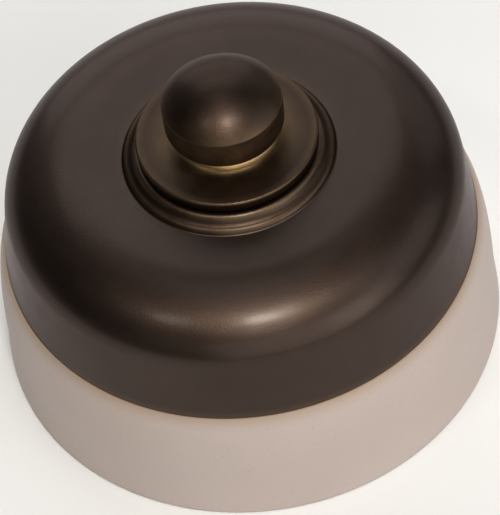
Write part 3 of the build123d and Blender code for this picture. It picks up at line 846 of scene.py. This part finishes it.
def floor_paint():
    """Pale paint that is clear from behind."""
    finish = Finish("pale_floor")
    finish.set(
        colour=finish.mix(finish.spread(finish.noise(FLOOR_CLOUD)), FLOOR_PALE, FLOOR_SHADE),
        roughness=FLOOR_ROUGH,
        specular=FLOOR_GLOSS,
    )
    side = finish.add("MixShader")
    finish.put(side.inputs[0], finish.add("NewGeometry").outputs["Backfacing"])
    finish.put(side.inputs[1], finish.shader.outputs["BSDF"])
    finish.put(side.inputs[2], finish.add("BsdfTransparent").outputs["BSDF"])
    finish.put(finish.tree.nodes["Material Output"].inputs["Surface"], side.outputs["Shader"])
    return finish.material


def make_floor():
    """Plain pale floor, open under the foot, so that the underside is lit and can be looked at."""
    form = bmesh.new()
    inner, outer = (ring(form, radius, -FLOOR_DROP, TURN_STEPS) for radius in (FLOOR_HOLE_R, FLOOR_R))
    band(form, outer, inner)
    floor = finished("studio_floor", form)
    floor.data.materials.append(floor_paint())


make_floor()

# Soft studio light: name, azimuth, elevation, distance, width, height, brightness and tint of each panel
NEUTRAL = (1.0, 1.0, 1.0)
MILD = (1.0, 0.97, 0.93)
WARM = (1.0, 0.94, 0.84)
PANELS = (
    ("key", 4.0, 69.0, 0.75, 0.11, 0.11, 47.0, WARM),
    ("key_side", 14.0, 72.0, 0.75, 0.13, 0.13, 9.5, WARM),
    ("key_low", 2.0, 53.0, 0.75, 0.16, 0.16, 2.6, WARM),
    ("key_right", 32.0, 68.0, 0.75, 0.20, 0.16, 2.6, WARM),
    ("left_spot", -58.0, 62.0, 0.75, 0.12, 0.12, 8.5, WARM),
    ("front_left", -40.0, 28.0, 0.90, 0.40, 0.40, 0.22, MILD),
    ("front_wide", 16.0, 24.0, 0.90, 1.20, 0.62, 1.25, MILD),
    ("front_right", 50.0, 28.0, 0.90, 0.50, 0.50, 1.3, NEUTRAL),
    ("right", 88.0, 30.0, 1.00, 0.50, 0.50, 0.85, NEUTRAL),
    ("right_high", 70.0, 55.0, 0.90, 0.35, 0.35, 0.68, NEUTRAL),
    ("back_low", 180.0, 16.0, 1.00, 1.00, 0.45, 1.3, NEUTRAL),
    ("back_mid", 180.0, 45.0, 1.00, 0.80, 0.45, 1.35, NEUTRAL),
    ("back_right", 138.0, 25.0, 1.00, 0.50, 0.50, 0.55, NEUTRAL),
    ("back_left", -138.0, 25.0, 1.00, 0.50, 0.50, 0.10, NEUTRAL),
    ("top", 180.0, 80.0, 1.00, 0.40, 0.40, 0.90, NEUTRAL),
    ("below", 0.0, -70.0, 1.00, 0.60, 0.60, 3.0, NEUTRAL),
)
WORLD_LIGHT = 0.06


def direction(azimuth, elevation):
    """Unit vector towards an azimuth, from the front towards the right, and an elevation."""
    turn, lift = math.radians(azimuth), math.radians(elevation)
    return Vector((math.sin(turn) * math.cos(lift), -math.cos(turn) * math.cos(lift), math.sin(lift)))


def make_panel(name, azimuth, elevation, distance, width, height, brightness, tint):
    """Rectangular soft light that faces the middle of the object; a brightness of 1 is white."""
    lamp = bpy.data.lights.new(name, "AREA")
    lamp.shape = "RECTANGLE"
    lamp.size = width
    lamp.size_y = height
    lamp.energy = brightness * math.pi * width * height
    lamp.color = tint
    panel = bpy.data.objects.new(name, lamp)
    towards = direction(azimuth, elevation)
    panel.location = (cad_box[0] + cad_box[1]) / 2 + towards * distance
    panel.rotation_euler = towards.to_track_quat("Z", "Y").to_euler()
    bpy.context.scene.collection.objects.link(panel)


def make_world():
    """Faint even light from all around."""
    world = bpy.data.worlds.new("studio")
    world.use_nodes = True
    sky = world.node_tree.nodes["Background"]
    sky.inputs["Color"].default_value = (*NEUTRAL, 1.0)
    sky.inputs["Strength"].default_value = WORLD_LIGHT
    bpy.context.scene.world = world


for panel_row in PANELS:
    make_panel(*panel_row)
make_world()
bpy.context.scene.view_settings.view_transform = "Standard"

# Camera, at the place and angle of the photograph
CAMERA_PLACE = Vector((-0.0077, -0.2703, 0.3597))
CAMERA_YAW = 1.75
CAMERA_PITCH = 52.23
CAMERA_ROLL = -8.71
CAMERA_SENSOR = 36.0
FOCAL_PIXELS = 3400.0
IMAGE_HEIGHT_PIXELS = 515.0


def make_camera():
    """Long lens that looks down on the front of the object, rolled as in the photograph."""
    forward = -direction(-CAMERA_YAW, CAMERA_PITCH)
    level = forward.cross(Vector((0.0, 0.0, 1.0))).normalized()
    upright = level.cross(forward)
    roll = math.radians(CAMERA_ROLL)
    right = level * math.cos(roll) + upright * math.sin(roll)
    up = upright * math.cos(roll) - level * math.sin(roll)
    lens = bpy.data.cameras.new("photo_camera")
    lens.sensor_width = CAMERA_SENSOR
    lens.lens = FOCAL_PIXELS * CAMERA_SENSOR / IMAGE_HEIGHT_PIXELS
    camera = bpy.data.objects.new("photo_camera", lens)
    turn = Matrix((right, up, -forward)).transposed()
    camera.matrix_world = Matrix.Translation(CAMERA_PLACE) @ turn.to_4x4()
    bpy.context.scene.collection.objects.link(camera)
    bpy.context.scene.camera = camera


make_camera()
